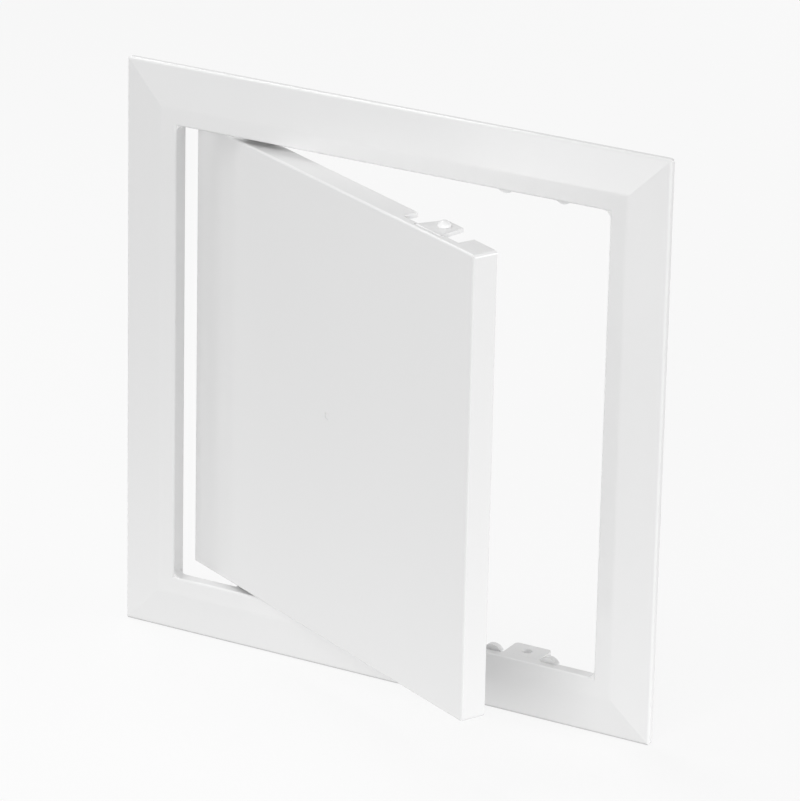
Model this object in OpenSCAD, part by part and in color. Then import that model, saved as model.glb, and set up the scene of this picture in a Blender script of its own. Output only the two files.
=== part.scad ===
// Hinged access panel: a square frame that covers the edge of a cut-out, and a tray-shaped door
// that swings on two pegs and snaps shut on two sprung tongues.
// The panel stands upright: +X to the right, +Y into the wall, +Z up, all sizes in millimetres.
// The origin is the centre of the opening, on the wall's surface.

/* [Frame] */
// Outer side of the square frame
frame_side = 250; // [235:1:320]
// Side of the clear square opening
opening_side = 200; // [190:1:215]
// Height of the frame's inner band above the wall
face_height = 5; // [4.6:0.1:7]
// Height of the frame's outer edge above the wall
rim_height = 2.5; // [2:0.1:3.5]
// Width of the flat band round the opening
face_flat = 7.5; // [5:0.5:12]
// Radius of the soft crease between the flat band and the slope
crease_r = 15; // [4:1:30]
// Radius of the outer edge of the face
rim_edge_r = 1.3; // [0.3:0.1:1.6]
// Radius of the frame's outer corners
frame_corner_r = 1.6; // [0.5:0.1:4]
// Radius of the front edge of the opening
opening_edge_r = 1; // [0.5:0.1:2]
// Radius of the inner corners of the opening
opening_corner_r = 3; // [1:0.1:4]
// Thickness of the moulded skin of the face
skin = 2; // [1.5:0.1:2.4]
// Thickness of the outer edge, measured along the wall
rim_wall = 2.2; // [1.5:0.1:3]
// Thickness of the wall round the opening
neck_wall = 2.2; // [1.8:0.1:3]
// How far the lips at the left and right of the opening reach behind the wall's surface
neck_reach = 2.5; // [1.5:0.1:4]
// How far the walls above and below the opening reach behind the wall's surface
sill_reach = 0.2; // [0.1:0.1:1]
// Ribs behind each bar of the frame, not counting the corners
rib_count = 5; // [1:1:9]
// Thickness of the ribs behind the frame
frame_rib_t = 1.6; // [1:0.1:2.5]

/* [Door] */
// How far the door stands open
open_angle = 26; // [0:1:135]
// Gap between the door and the opening, at the hinge edge and the free edge
side_gap = 1.5; // [1.5:0.1:3]
// Gap between the door and the opening, above and below
end_gap = 2; // [1.8:0.1:2.3]
// Depth of the door's rim, from its front
door_depth = 11.2; // [9:0.1:14]
// Thickness of the door's front plate
plate_t = 2; // [1.5:0.1:2.2]
// Thickness of the door's rim
door_wall = 2; // [1.5:0.1:2.5]
// Radius of the door's front edges
door_edge_r = 0.9; // [0.3:0.1:1.3]
// Radius of the door's corners
door_corner_r = 1.4; // [0.5:0.1:1.8]
// Height of the stiffening ribs on the door's back
door_rib_h = 2.5; // [1.5:0.5:6]
// Thickness of the stiffening ribs on the door's back
door_rib_t = 1.4; // [1:0.1:2]
// Ribs each way on the door's back
door_rib_count = 4; // [2:1:6]
// Diameter of the moulding gate's mark at the middle of the door
gate_d = 3; // [2:0.1:5]
// Depth of the moulding gate's mark
gate_depth = 0.2; // [0.1:0.05:0.4]

/* [Hinge and catch] */
// Distance of the hinge line and the catch line from the sides of the opening
pivot_inset = 36; // [34:0.5:42]
// Depth of the hinge line and the catch behind the front of the door
pivot_depth = 10.4; // [9.8:0.1:10.6]
// Diameter of the holes in the tabs
hole_d = 4.2; // [3.6:0.1:4.6]
// Clearance round a hinge peg in its hole, on the radius
peg_clearance = 0.08; // [0.02:0.01:0.1]
// How far a hinge peg stands out of its tab
peg_end = 1; // [0.5:0.1:2]
// Diameter of the shoulder below a hinge peg
shoulder_d = 7; // [6:0.1:9]
// Clearance between the shoulder of a hinge peg and its tab
shoulder_gap = 0.3; // [0.2:0.1:0.6]
// Width of the frame's tabs
tab_w = 16.5; // [14:0.5:16.5]
// How far the frame's tabs reach behind the wall's surface
tab_reach = 11.5; // [10:0.1:13]
// Radius of the free corners of the tabs
tab_corner_r = 1.5; // [0.5:0.1:3]
// Distance between the two ears that stop the door at each catch
ear_pitch = 26; // [26:0.5:28]
// Radius of an ear
ear_r = 4.5; // [4:0.1:5.4]
// How far an ear reaches into the opening
ear_h = 2.4; // [2.4:0.1:3.2]
// Length of an ear from front to back
ear_length = 2.5; // [2:0.1:6]
// Clearance between the closed door and the ears
stop_gap = 0.4; // [0.2:0.1:0.6]
// Width of the cut in the door's rim round a catch tongue
notch_w = 38; // [37:0.5:42]
// Depth of the lip that stays beside a catch tongue, from the front of the door
lip_depth = 3.8; // [2.6:0.1:3.9]
// Width of a tongue or hinge arm at its root
root_w = 17; // [12:0.5:17.5]
// Width of a tongue or hinge arm at its tip
tip_w = 11.5; // [9:0.5:12]
// Length of a tongue or hinge arm behind the door's front plate
tongue_length = 13.5; // [12.6:0.1:15]
// Thickness of a catch tongue
tongue_t = 1.6; // [1.2:0.1:2]
// Clearance at the root of a tongue, and beside the root of a tongue or hinge arm
root_gap = 0.3; // [0.2:0.05:0.4]
// Thickness of a hinge arm
arm_t = 2.4; // [2:0.1:3]
// Radius of the dome on a catch tongue
dome_r = 2.8; // [2.5:0.1:2.9]
// How far the dome of a tongue reaches into the hole of its tab
dome_bite = 0.6; // [0.3:0.1:0.7]

/* [Hidden] */
$fn = 64;
// Segments in a rounded edge of a section
edge_steps = 6;
// Overrun that keeps a cut clear of the face it opens through
cut = 1;

// Frame
half_opening = opening_side / 2;
bar_w = (frame_side - opening_side) / 2;
front_y = -face_height;
neck_side = opening_side + 2 * neck_wall;
slope_tilt = atan((face_height - rim_height) / (bar_w - face_flat));
crease_run = crease_r * tan(slope_tilt / 2);
rim_edge_y = -rim_height + rim_edge_r * (1 - sin(slope_tilt)) / cos(slope_tilt);
pocket_side = frame_side - 2 * rim_wall;
flat_side = opening_side + 2 * face_flat;
pocket_edge_y = front_y + skin + (pocket_side - flat_side) / 2 * tan(slope_tilt);
rib_pitch = neck_side / (rib_count + 1);

// Door, in its closed place
door_w = opening_side - 2 * side_gap;
door_h = opening_side - 2 * end_gap;
plate_back = front_y + plate_t;
door_back = front_y + door_depth;
door_rib_pitch_x = door_w / (door_rib_count + 1);
door_rib_pitch_z = door_h / (door_rib_count + 1);
door_rim_z = door_h / 2;

// Hinge and catch
pivot_x = -half_opening + pivot_inset;
catch_x = half_opening - pivot_inset;
pivot_y = front_y + pivot_depth;
lip_y = front_y + lip_depth;
ear_y = lip_y + stop_gap;
peg_d = hole_d - 2 * peg_clearance;
peg_top_z = half_opening + neck_wall + peg_end;
dome_z = half_opening + dome_bite - dome_r;

// Points of an arc about a centre, from one angle to another
function arc(centre, r, from, to) = [
    for (i = [0 : edge_steps])
        let (a = from + (to - from) * i / edge_steps)
        centre + r * [cos(a), sin(a)]
];

// A list of points and the same points mirrored, as one closed outline
function both_halves(half) = concat(half, [for (i = [len(half) - 1 : -1 : 0]) [-half[i].x, half[i].y]]);

// A section drawn across the panel and run both ways, so that it meets itself on the mitres
module mitred() {
    intersection() {
        linear_extrude(2 * frame_side, center = true) children(0);
        rotate([0, 90, 0]) linear_extrude(2 * frame_side, center = true) children($children - 1);
    }
}

// A flat outline drawn in X and Z, given a thickness from one depth to another
module slab(from_y, to_y) {
    translate([0, to_y, 0]) rotate([90, 0, 0]) linear_extrude(to_y - from_y) children();
}

module rounded_square(w, h, r) {
    square([w - 2 * r, h], center = true);
    square([w, h - 2 * r], center = true);
    for (x = [-1, 1], z = [-1, 1])
        translate([x * (w / 2 - r), z * (h / 2 - r)]) circle(r);
}

module at_both_ends() {
    children();
    mirror([0, 0, 1]) children();
}

// Frame

// Outside of the face: flat band, soft crease, slope and rounded outer edge
module face_section() {
    polygon(both_halves(concat(
        arc([flat_side / 2 - crease_run, front_y + crease_r], crease_r, -90, slope_tilt - 90),
        arc([frame_side / 2 - rim_edge_r, rim_edge_y], rim_edge_r, slope_tilt - 90, 0),
        [[frame_side / 2, 0]]
    )));
}

// Hollow behind the face, one skin below it
module pocket_section() {
    polygon(both_halves([
        [flat_side / 2, front_y + skin],
        [pocket_side / 2, pocket_edge_y],
        [pocket_side / 2, cut]
    ]));
}

// Clear way through the frame, with a rounded front edge
module opening_section() {
    flared = opening_side + 2 * opening_edge_r;
    translate([-half_opening, front_y - cut]) square([opening_side, face_height + neck_reach + 2 * cut]);
    difference() {
        translate([-flared / 2, front_y - cut]) square([flared, opening_edge_r + cut]);
        for (x = [-1, 1])
            translate([x * flared / 2, front_y + opening_edge_r]) circle(opening_edge_r);
    }
}

module frame_ribs() {
    for (turn = [0, 90], i = [1 : rib_count])
        rotate([0, turn, 0])
            translate([i * rib_pitch - neck_side / 2, front_y / 2, 0])
                cube([frame_rib_t, face_height, frame_side], center = true);
}

// Fillet in each inner corner of the opening, set back behind the rounded front edge
module opening_fillets() {
    corner = half_opening - opening_corner_r;
    for (turn = [0 : 90 : 270])
        rotate([0, turn, 0])
            slab(front_y + opening_edge_r / 2, sill_reach)
                difference() {
                    translate([corner, corner]) square(opening_corner_r + neck_wall / 2);
                    translate([corner, corner]) circle(opening_corner_r);
                }
}

// The two half-round ears that stop the closed door beside one catch, let into the wall of the opening
module ears() {
    for (side = [-1, 1])
        intersection() {
            translate([catch_x + side * ear_pitch / 2, ear_y, half_opening + ear_r - ear_h])
                rotate([-90, 0, 0]) cylinder(r = ear_r, h = ear_length);
            union() {
                slab(ear_y - cut, ear_y + ear_length + cut) square(opening_side, center = true);
                slab(ear_y - cut, sill_reach) square(opening_side + neck_wall, center = true);
            }
        }
}

// Lips behind the left and right of the opening, which line the sides of the cut-out
module neck_lips() {
    for (side = [-1, 1])
        slab(front_y + skin / 2, neck_reach)
            translate([side * (half_opening + neck_wall / 2), 0])
                square([neck_wall, neck_side], center = true);
}

module frame() {
    color("white") {
        difference() {
            union() {
                difference() {
                    intersection() {
                        mitred() face_section();
                        slab(front_y - cut, cut) rounded_square(frame_side, frame_side, frame_corner_r);
                    }
                    difference() {
                        mitred() pocket_section();
                        frame_ribs();
                    }
                }
                slab(front_y + skin / 2, sill_reach) square(neck_side, center = true);
                neck_lips();
            }
            mitred() opening_section();
        }
        opening_fillets();
        at_both_ends() ears();
    }
}

// Tab behind the wall above the opening, with one round hole
module tab(x) {
    color("white")
        difference() {
            translate([x, 0, half_opening])
                linear_extrude(neck_wall)
                    tab_outline();
            translate([x, pivot_y, half_opening - cut]) cylinder(d = hole_d, h = neck_wall + 2 * cut);
        }
}

module tab_outline() {
    length = tab_reach - sill_reach;
    translate([-tab_w / 2, sill_reach]) square([tab_w, length - tab_corner_r]);
    translate([tab_corner_r - tab_w / 2, sill_reach]) square([tab_w - 2 * tab_corner_r, length]);
    for (side = [-1, 1])
        translate([side * (tab_w / 2 - tab_corner_r), tab_reach - tab_corner_r]) circle(tab_corner_r);
}

module upper_hinge_tab() { tab(pivot_x); }

module lower_hinge_tab() { mirror([0, 0, 1]) tab(pivot_x); }

module upper_catch_tab() { tab(catch_x); }

module lower_catch_tab() { mirror([0, 0, 1]) tab(catch_x); }

// Door

// Turns the closed door about the hinge line to where it stands open
module swung() {
    hinge = [pivot_x, pivot_y, 0];
    translate(hinge) rotate([0, 0, -open_angle]) translate(-hinge) children();
}

// Outside of the door across one way, with rounded front edges
module door_section(w) {
    translate([-w / 2, front_y + door_edge_r]) square([w, door_depth - door_edge_r]);
    translate([door_edge_r - w / 2, front_y]) square([w - 2 * door_edge_r, door_depth]);
    for (x = [-1, 1])
        translate([x * (w / 2 - door_edge_r), front_y + door_edge_r]) circle(door_edge_r);
}

module door_ribs() {
    for (i = [1 : door_rib_count]) {
        translate([i * door_rib_pitch_x - door_w / 2, plate_back + door_rib_h / 2, 0])
            cube([door_rib_t, door_rib_h, door_h - door_wall], center = true);
        translate([0, plate_back + door_rib_h / 2, i * door_rib_pitch_z - door_h / 2])
            cube([door_w - door_wall, door_rib_h, door_rib_t], center = true);
    }
}

// Cut through the door's upper rim from a given depth
module rim_cut(x, w, from_y) {
    translate([x - w / 2, from_y, door_rim_z - arm_t - cut])
        cube([w, door_depth, arm_t + 2 * cut]);
}

// Wide cut down to the lip, and a deeper one for the root of a catch tongue
module catch_notch() {
    rim_cut(catch_x, notch_w, lip_y);
    rim_cut(catch_x, root_w + 2 * root_gap, plate_back);
}

// Slot that a hinge arm fills but for the clearance at its sides
module arm_slot() {
    translate([pivot_x, 0, door_rim_z - arm_t - cut])
        linear_extrude(arm_t + 2 * cut)
            tongue_outline(plate_back, root_gap);
}

module door() {
    color("white")
        swung()
            difference() {
                union() {
                    difference() {
                        intersection() {
                            mitred() {
                                door_section(door_w);
                                door_section(door_h);
                            }
                            slab(front_y - cut, door_back + cut)
                                rounded_square(door_w, door_h, door_corner_r);
                        }
                        slab(plate_back, door_back + cut)
                            square([door_w - 2 * door_wall, door_h - 2 * door_wall], center = true);
                    }
                    door_ribs();
                }
                at_both_ends() {
                    catch_notch();
                    arm_slot();
                }
                slab(front_y - cut, front_y + gate_depth) circle(d = gate_d);
            }
}

// Outline of a tongue or an arm in plan, from its root to its tip, with a margin at its sides
module tongue_outline(from_y, margin = 0) {
    root = root_w / 2 + margin;
    tip = tip_w / 2 + margin;
    tip_y = plate_back + tongue_length;
    polygon([[-root, from_y], [root, from_y], [tip, tip_y], [-tip, tip_y]]);
}

// Stiff arm with the peg that the door turns on, at the upper hinge
module hinge_arm() {
    color("white") {
        translate([pivot_x, 0, door_rim_z - arm_t]) linear_extrude(arm_t) tongue_outline(plate_back);
        translate([pivot_x, pivot_y, door_rim_z - arm_t / 2]) {
            cylinder(d = shoulder_d, h = half_opening - shoulder_gap - door_rim_z + arm_t / 2);
            cylinder(d = peg_d, h = peg_top_z - door_rim_z + arm_t / 2);
        }
    }
}

// Springy tongue with a dome that clicks into the hole of a tab, at the upper catch
module snap_tongue() {
    root_y = plate_back + root_gap + tongue_t / 2;
    color("white") {
        translate([catch_x, 0, door_rim_z - tongue_t]) linear_extrude(tongue_t) tongue_outline(root_y);
        translate([catch_x - root_w / 2, root_y, door_rim_z - tongue_t / 2])
            rotate([0, 90, 0]) cylinder(d = tongue_t, h = root_w);
        translate([catch_x, pivot_y, door_rim_z - tongue_t / 2])
            cylinder(r = dome_r, h = dome_z - door_rim_z + tongue_t / 2);
        difference() {
            translate([catch_x, pivot_y, dome_z]) sphere(dome_r);
            translate([catch_x, pivot_y, dome_z - dome_r - cut])
                cylinder(r = dome_r + cut, h = dome_r + cut);
        }
    }
}

module upper_hinge_arm() { swung() hinge_arm(); }

module lower_hinge_arm() { swung() mirror([0, 0, 1]) hinge_arm(); }

module upper_snap_tongue() { swung() snap_tongue(); }

module lower_snap_tongue() { swung() mirror([0, 0, 1]) snap_tongue(); }

frame();
upper_hinge_tab();
lower_hinge_tab();
upper_catch_tab();
lower_catch_tab();
door();
upper_hinge_arm();
lower_hinge_arm();
upper_snap_tongue();
lower_snap_tongue();
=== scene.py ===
"""Looks of the hinged access panel: semi-gloss white plastic on a pale studio floor.

The panel stands upright on the floor with its door open, as in the photograph.
All sizes are in metres, in the part's own frame: +X right, +Y into the wall, +Z up.
"""
import math

import bpy
from mathutils import Matrix, Vector


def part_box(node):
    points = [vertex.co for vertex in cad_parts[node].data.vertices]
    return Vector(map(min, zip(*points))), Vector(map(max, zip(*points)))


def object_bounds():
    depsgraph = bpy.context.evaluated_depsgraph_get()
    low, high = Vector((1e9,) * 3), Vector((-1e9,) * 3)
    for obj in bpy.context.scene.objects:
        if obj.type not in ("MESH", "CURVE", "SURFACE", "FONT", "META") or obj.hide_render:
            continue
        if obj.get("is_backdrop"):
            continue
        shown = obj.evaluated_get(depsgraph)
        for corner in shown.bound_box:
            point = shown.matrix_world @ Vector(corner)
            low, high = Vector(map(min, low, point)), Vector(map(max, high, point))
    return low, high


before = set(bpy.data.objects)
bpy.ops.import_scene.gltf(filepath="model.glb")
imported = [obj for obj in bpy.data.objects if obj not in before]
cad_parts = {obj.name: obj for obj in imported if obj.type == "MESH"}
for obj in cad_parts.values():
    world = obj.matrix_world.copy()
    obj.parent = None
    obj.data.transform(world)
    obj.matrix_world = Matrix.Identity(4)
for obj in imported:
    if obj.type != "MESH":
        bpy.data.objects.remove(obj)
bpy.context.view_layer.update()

# Camera: a long lens, fitted to the straight edges of the panel in the photograph
IMAGE_W = 800
FOCAL_PX = 5391.7  # in pixels of a picture IMAGE_W wide
SENSOR_MM = 36.0
AZIMUTH = math.radians(29.062)  # to the right of the front
ELEVATION = math.radians(20.799)  # above the level
ROLL = math.radians(1.222)  # about the line of sight
DISTANCE = 2.19586
AIM_RIGHT = 0.00663  # from the middle of the frame's front
AIM_UP = 0.00024

# Plastic's own tone, and the painted shade that darkens it in crevices
PLASTIC = 0.86
CREVICE_SHADE = 0.5
CREVICE_REACH = 0.003  # how near another surface has to be to count
CREVICE_OPEN = 0.7  # free share of the outlook from which the tone is PLASTIC
CREVICE_SHUT = 0.2  # free share up to which the tone is the painted crevice shade
CREVICE_SAMPLES = 8

# Plastic's gloss: the roughness drifts between two values in slow swirls
PLASTIC_IOR = 1.5
ROUGH_LOW = 0.07
ROUGH_HIGH = 0.12
SWIRL_SIZE = 0.03
SWIRL_DETAIL = 3
SWIRL_BEND = 0.6

# Plastic's surface: a fine grain and softened edges
GRAIN_SIZE = 0.0009
GRAIN_HEIGHT = 0.000004
GRAIN_DETAIL = 2
EDGE_SOFTNESS = 0.00012  # radius

# Floor: what the camera sees of it is mostly its own pale tone, so the shadow stays faint
FLOOR_SIZE = 60.0
FLOOR_ALBEDO = 0.12
FLOOR_GLOW = 0.85

# World: the dim light from all round, and the plain backdrop that shows in its place
DOME = 0.3
BACKDROP = 0.939

# Softboxes round the panel, all facing its middle
PANEL_MIDDLE = Vector((0, 0, 0))
SOFTBOX_DISTANCE = 1.3
SOFTBOXES = {  # degrees to the right of the front, degrees above the level, width and height, radiance
    "key": (10, 19, (1.05, 0.6), 4.3),
    "left": (-62, 43, (0.35, 1.2), 2.8),
    "upper_left": (-118, 56, (0.5, 0.6), 4.45),
    "right": (90, 8, (0.6, 0.5), 8.35),
    "low_left": (-13.5, 2, (0.54, 0.3), 1.5),
    "back": (170, 5, (1.2, 0.3), 2.4),
}

# Light that the table round the panel throws back up
UP = Vector((0, 0, 1))
TABLE_AT = (0, -0.1)
TABLE_SIZE = (0.6, 0.3)
TABLE_GLOW = 0.545  # radiance
TABLE_LIFT = 0.0002  # above the floor


def grey(value):
    """An opaque grey of this linear value."""
    return (value, value, value, 1)


def node(tree, kind, **inputs):
    """A shader node with its inputs set; an input that is a socket is linked."""
    made = tree.nodes.new(kind)
    for name, value in inputs.items():
        socket = made.inputs[name.replace("_", " ")]
        if isinstance(value, bpy.types.NodeSocket):
            tree.links.new(value, socket)
        else:
            socket.default_value = value
    return made


def mixed(tree, factor, first, second):
    """The output of a shader that goes from the first shader to the second as the factor rises."""
    mix = tree.nodes.new("ShaderNodeMixShader")
    for source, socket in zip((factor, first, second), mix.inputs):
        tree.links.new(source, socket)
    return mix.outputs[0]


def shown_ray(tree):
    """1 for a ray that comes from the camera or from a reflection or glass, and 0 for scattered light."""
    path = tree.nodes.new("ShaderNodeLightPath")
    total = path.outputs["Is Camera Ray"]
    for name in ("Is Glossy Ray", "Is Transmission Ray"):
        either = tree.nodes.new("ShaderNodeMath")
        either.operation = "MAXIMUM"
        tree.links.new(total, either.inputs[0])
        tree.links.new(path.outputs[name], either.inputs[1])
        total = either.outputs[0]
    return total


def plastic_colour_and_crevice_shade(tree):
    """The plastic's own tone, with painted shade darkening it in narrow crevices."""
    # Painted shade: the colour darkens where the ambient-occlusion test finds other surfaces near
    around = node(tree, "ShaderNodeAmbientOcclusion", Distance=CREVICE_REACH)
    around.samples = CREVICE_SAMPLES
    openness = node(
        tree, "ShaderNodeMapRange", Value=around.outputs["AO"], From_Min=CREVICE_SHUT, From_Max=CREVICE_OPEN
    )
    ramp = node(tree, "ShaderNodeValToRGB", Fac=openness.outputs["Result"])
    ramp.color_ramp.elements[0].color = grey(CREVICE_SHADE)
    ramp.color_ramp.elements[1].color = grey(PLASTIC)
    return ramp.outputs["Color"]


def plastic_roughness(tree, place):
    """Roughness that drifts in slow swirls."""
    swirl = node(
        tree,
        "ShaderNodeTexNoise",
        Vector=place,
        Scale=1 / SWIRL_SIZE,
        Detail=SWIRL_DETAIL,
        Distortion=SWIRL_BEND,
    )
    rough = node(
        tree, "ShaderNodeMapRange", Value=swirl.outputs["Fac"], To_Min=ROUGH_LOW, To_Max=ROUGH_HIGH
    )
    return rough.outputs["Result"]


def plastic_normal(tree, place):
    """Normals of a finely grained surface with slightly softened edges."""
    grain = node(tree, "ShaderNodeTexNoise", Vector=place, Scale=1 / GRAIN_SIZE, Detail=GRAIN_DETAIL)
    edges = node(tree, "ShaderNodeBevel", Radius=EDGE_SOFTNESS)
    bump = node(
        tree,
        "ShaderNodeBump",
        Strength=1,
        Distance=GRAIN_HEIGHT,
        Height=grain.outputs["Fac"],
        Normal=edges.outputs["Normal"],
    )
    return bump.outputs["Normal"]


def plastic_material():
    """Moulded white plastic, the same for every piece."""
    material = bpy.data.materials.new("white_plastic")
    material.use_nodes = True
    tree = material.node_tree
    place = tree.nodes.new("ShaderNodeTexCoord").outputs["Object"]
    shader = tree.nodes["Principled BSDF"]
    shader.inputs["IOR"].default_value = PLASTIC_IOR
    tree.links.new(plastic_colour_and_crevice_shade(tree), shader.inputs["Base Color"])
    tree.links.new(plastic_roughness(tree, place), shader.inputs["Roughness"])
    tree.links.new(plastic_normal(tree, place), shader.inputs["Normal"])
    return material


def floor_material():
    """Pale floor that takes a faint shadow, and is clear from below."""
    material = bpy.data.materials.new("floor")
    material.use_nodes = True
    tree = material.node_tree
    tree.nodes.clear()
    out = tree.nodes.new("ShaderNodeOutputMaterial")
    side = tree.nodes.new("ShaderNodeNewGeometry")
    shaded = node(tree, "ShaderNodeBsdfDiffuse", Color=grey(FLOOR_ALBEDO))
    glow = node(tree, "ShaderNodeEmission", Color=grey(1), Strength=FLOOR_GLOW)
    pale = tree.nodes.new("ShaderNodeAddShader")
    tree.links.new(shaded.outputs[0], pale.inputs[0])
    tree.links.new(glow.outputs[0], pale.inputs[1])
    top = mixed(tree, shown_ray(tree), shaded.outputs[0], pale.outputs[0])
    clear = tree.nodes.new("ShaderNodeBsdfTransparent")
    both = mixed(tree, side.outputs["Backfacing"], top, clear.outputs[0])
    tree.links.new(both, out.inputs["Surface"])
    return material


def add_floor():
    """A wide floor that the panel stands on."""
    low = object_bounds()[0]
    bpy.ops.mesh.primitive_plane_add(size=FLOOR_SIZE, location=(0, 0, low.z))
    floor = bpy.context.object
    floor.name = "floor"
    floor.data.materials.append(floor_material())
    floor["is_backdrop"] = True


def add_world():
    """Even, dim light dome; the camera and reflections see a plain pale backdrop in its place."""
    world = bpy.data.worlds.new("studio")
    bpy.context.scene.world = world
    world.use_nodes = True
    tree = world.node_tree
    tree.nodes.clear()
    out = tree.nodes.new("ShaderNodeOutputWorld")
    dome = node(tree, "ShaderNodeBackground", Color=grey(1), Strength=DOME)
    backdrop = node(tree, "ShaderNodeBackground", Color=grey(1), Strength=BACKDROP)
    sky = mixed(tree, shown_ray(tree), dome.outputs[0], backdrop.outputs[0])
    tree.links.new(sky, out.inputs["Surface"])


def add_area_light(name, at, to, size, glow):
    """A softbox that the camera doesn't see; glow is its radiance."""
    data = bpy.data.lights.new(name, "AREA")
    data.shape = "RECTANGLE"
    data.size, data.size_y = size
    data.energy = glow * math.pi * size[0] * size[1]
    light = bpy.data.objects.new(name, data)
    light.location = at
    light.rotation_euler = (to - at).to_track_quat("-Z", "Y").to_euler()
    light.visible_camera = False
    bpy.context.scene.collection.objects.link(light)
    return light


def toward(turn, height):
    """Unit vector from the panel: turn is to the right of the front, height above the level."""
    level = math.cos(height)
    return Vector((math.sin(turn) * level, -math.cos(turn) * level, math.sin(height)))


def add_lights():
    """The softboxes, and the table's light, which reflections leave out."""
    for name, (turn, height, size, glow) in SOFTBOXES.items():
        at = SOFTBOX_DISTANCE * toward(math.radians(turn), math.radians(height))
        add_area_light(name, at, PANEL_MIDDLE, size, glow)
    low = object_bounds()[0]
    at = Vector((*TABLE_AT, low.z + TABLE_LIFT))
    table = add_area_light("table", at, at + UP, TABLE_SIZE, TABLE_GLOW)
    table.visible_glossy = False


def add_camera():
    """The photograph's camera, aimed near the middle of the frame's front."""
    front_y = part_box("frame")[0].y
    back = toward(AZIMUTH, ELEVATION)
    level = Vector((math.cos(AZIMUTH), math.sin(AZIMUTH), 0))
    rise = back.cross(level)
    right = math.cos(ROLL) * level + math.sin(ROLL) * rise
    up = math.cos(ROLL) * rise - math.sin(ROLL) * level
    data = bpy.data.cameras.new("camera")
    data.sensor_fit = "HORIZONTAL"
    data.sensor_width = SENSOR_MM
    data.lens = FOCAL_PX * SENSOR_MM / IMAGE_W
    camera = bpy.data.objects.new("camera", data)
    place = Vector((0, front_y, 0)) + AIM_RIGHT * right + AIM_UP * up + DISTANCE * back
    camera.matrix_world = Matrix.Translation(place) @ Matrix((right, up, back)).transposed().to_4x4()
    bpy.context.scene.collection.objects.link(camera)
    bpy.context.scene.camera = camera


plastic = plastic_material()
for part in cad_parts.values():
    part.data.materials.clear()
    part.data.materials.append(plastic)

add_floor()
add_world()
add_lights()
add_camera()
bpy.context.scene.view_settings.view_transform = "Standard"
